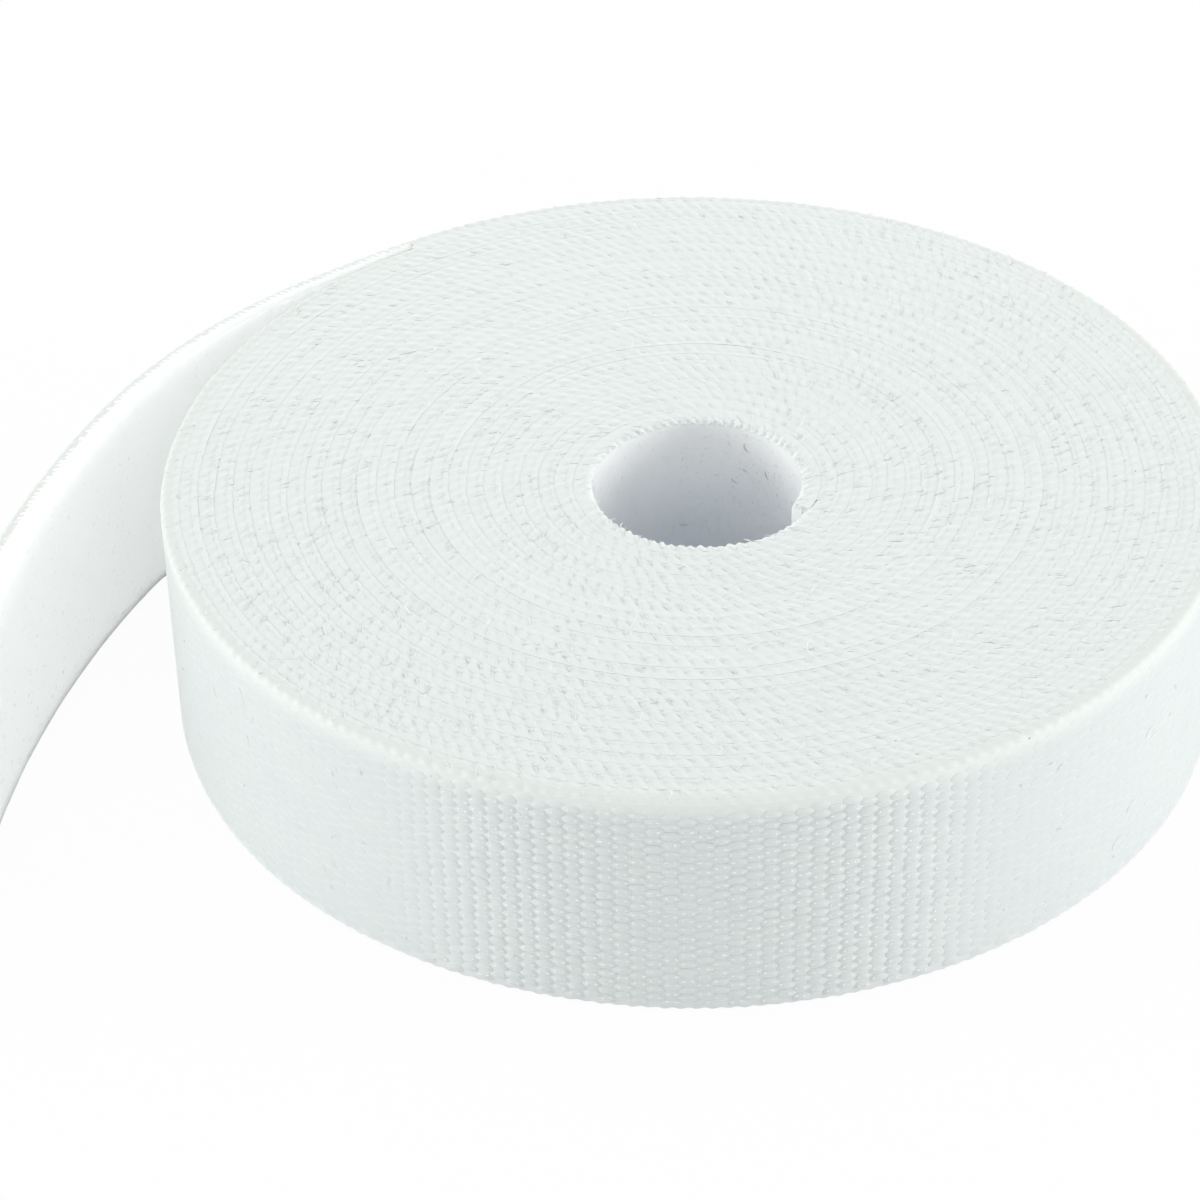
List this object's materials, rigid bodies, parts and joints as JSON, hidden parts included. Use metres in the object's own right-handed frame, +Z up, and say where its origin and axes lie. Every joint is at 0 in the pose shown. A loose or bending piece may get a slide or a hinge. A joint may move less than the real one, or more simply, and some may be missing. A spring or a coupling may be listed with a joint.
{
  "type": "hook and loop tape roll",
  "caption": "Flat-lying coreless roll of white double-faced hook and loop tape, hooks outward and soft loops inward, with its free end standing off the roll.",
  "frame": {"origin": "middle of the whole outline, roll and free end together, on the surface that the roll lies on", "axes": "+Z up along the roll's axis, +X away from the free end, -Y towards the side that the free end reaches round to"},
  "size_m": [0.1252, 0.1088, 0.025],
  "materials": {
    "hook_web": "white woven nylon with a low relief of glinting filaments",
    "loop_web": "white brushed nylon loops, soft and matt"
  },
  "bodies": {
    "roll": {"wound_hook_web": "hook_web", "wound_loop_web": "loop_web"},
    "tail": {"tail_hook_web": "hook_web", "tail_loop_web": "loop_web"}
  },
  "joints": [
    {"name": "tail_peel", "type": "hinge", "parent": "roll", "child": "tail", "pos_m": [-0.02306, 0.04464, 0.0125], "axis": [0, 0, -1], "range_deg": [0, 60]}
  ]
}
